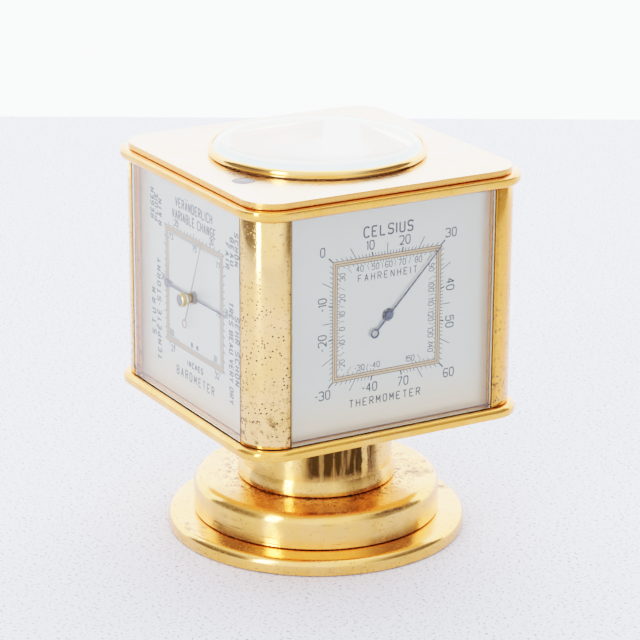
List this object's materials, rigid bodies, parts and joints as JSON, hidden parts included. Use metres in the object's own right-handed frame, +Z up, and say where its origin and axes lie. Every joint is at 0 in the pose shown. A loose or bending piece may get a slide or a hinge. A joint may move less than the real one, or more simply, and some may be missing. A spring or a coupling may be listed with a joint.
{
  "type": "desk weather cube",
  "caption": "Brass cube that turns on a round stepped base, with instrument dials behind glass on its sides and a compass under a round bevelled glass on top.",
  "frame": {"origin": "centre of the round base's underside, where the felt meets the table", "axes": "+Z up along the swivel axis, -Y out of the barometer dial, +X out of the thermometer dial"},
  "size_m": [0.088, 0.088, 0.1149],
  "materials": {
    "polished_brass": "polished and lacquered, pitted with age",
    "plain_brass": "satin",
    "steel": "turned",
    "blued_steel": "blued",
    "cast_iron": "as cast",
    "silvered_dial": "satin silvered",
    "clear_glass": "clear, ground edges",
    "green_felt": "felt",
    "black_fibre": "matt",
    "nickel": "dull nickel",
    "needle_paint": "enamel on one end"
  },
  "bodies": {
    "base": {"felt_pad": "green_felt", "base_flange": "polished_brass", "base_drum": "polished_brass", "base_weight": "cast_iron", "pivot_stud": "steel", "swivel_washer": "black_fibre", "spring_washer": "steel", "stud_nut": "steel"},
    "head": {"neck": "polished_brass", "neck_screw_1": "steel", "neck_screw_2": "steel", "neck_screw_3": "steel", "bottom_plate": "polished_brass", "cornice_plate": "polished_brass", "cover_plate": "polished_brass", "cover_plug": "nickel", "corner_column_1": "polished_brass", "corner_column_2": "polished_brass", "corner_column_3": "polished_brass", "corner_column_4": "polished_brass", "tie_rod_1": "steel", "tie_rod_2": "steel", "tie_rod_3": "steel", "tie_rod_4": "steel", "compass_cup": "silvered_dial", "compass_card": "silvered_dial", "compass_pivot": "plain_brass", "compass_bezel": "polished_brass", "compass_glass": "clear_glass", "barometer_dial": "silvered_dial", "barometer_glass": "clear_glass", "barometer_frame": "plain_brass", "aneroid_capsule": "nickel", "capsule_spring": "steel", "barometer_bridge": "plain_brass", "barometer_hairspring": "blued_steel", "thermometer_dial": "silvered_dial", "thermometer_glass": "clear_glass", "thermometer_bracket": "plain_brass", "thermometer_coil": "plain_brass", "hygrometer_dial": "silvered_dial", "hygrometer_glass": "clear_glass", "hygrometer_bracket": "plain_brass", "hygrometer_coil": "nickel", "clock_dial": "silvered_dial", "clock_glass": "clear_glass", "clock_movement": "nickel"},
    "needle": {"compass_needle": "needle_paint"},
    "pressure_hand": {"barometer_hand": "blued_steel", "barometer_arbor": "steel"},
    "rocker": {"rocking_shaft": "steel"},
    "set_hand": {"set_pointer": "plain_brass", "set_knob": "plain_brass"},
    "heat_hand": {"thermometer_hand": "blued_steel", "thermometer_arbor": "steel"},
    "damp_hand": {"hygrometer_hand": "blued_steel", "hygrometer_arbor": "steel"},
    "minutes": {"minute_hand": "blued_steel", "minute_arbor": "steel"},
    "hours": {"hour_hand": "blued_steel"}
  },
  "joints": [
    {"name": "head_swivel", "type": "hinge", "parent": "base", "child": "head", "pos_m": [0, 0, 0.0159], "axis": [0, 0, 1], "continuous": true},
    {"name": "needle_turn", "type": "hinge", "parent": "head", "child": "needle", "pos_m": [0, 0, 0.105], "axis": [0, 0, 1], "continuous": true},
    {"name": "pressure_turn", "type": "hinge", "parent": "head", "child": "pressure_hand", "pos_m": [0, -0.038, 0.07398], "axis": [0, 1, 0], "range_deg": [-237, 57]},
    {"name": "rocker_turn", "type": "hinge", "parent": "head", "child": "rocker", "pos_m": [0, -0.0312, 0.08298], "axis": [1, 0, 0], "range_deg": [-2.5, 10]},
    {"name": "set_turn", "type": "hinge", "parent": "head", "child": "set_hand", "pos_m": [0, -0.038, 0.07398], "axis": [0, 1, 0], "continuous": true},
    {"name": "heat_turn", "type": "hinge", "parent": "head", "child": "heat_hand", "pos_m": [0.038, 0, 0.07398], "axis": [-1, 0, 0], "range_deg": [-209, 121]},
    {"name": "damp_turn", "type": "hinge", "parent": "head", "child": "damp_hand", "pos_m": [0, 0.038, 0.07398], "axis": [0, -1, 0], "range_deg": [-157, 113]},
    {"name": "minute_turn", "type": "hinge", "parent": "head", "child": "minutes", "pos_m": [-0.038, 0, 0.07398], "axis": [1, 0, 0], "continuous": true},
    {"name": "hour_turn", "type": "hinge", "parent": "head", "child": "hours", "pos_m": [-0.038, 0, 0.07398], "axis": [1, 0, 0], "continuous": true}
  ],
  "couplings": [
    {"joint": "rocker_turn", "follows": "pressure_turn", "ratio": -0.041667},
    {"joint": "hour_turn", "follows": "minute_turn", "ratio": 0.083333}
  ]
}
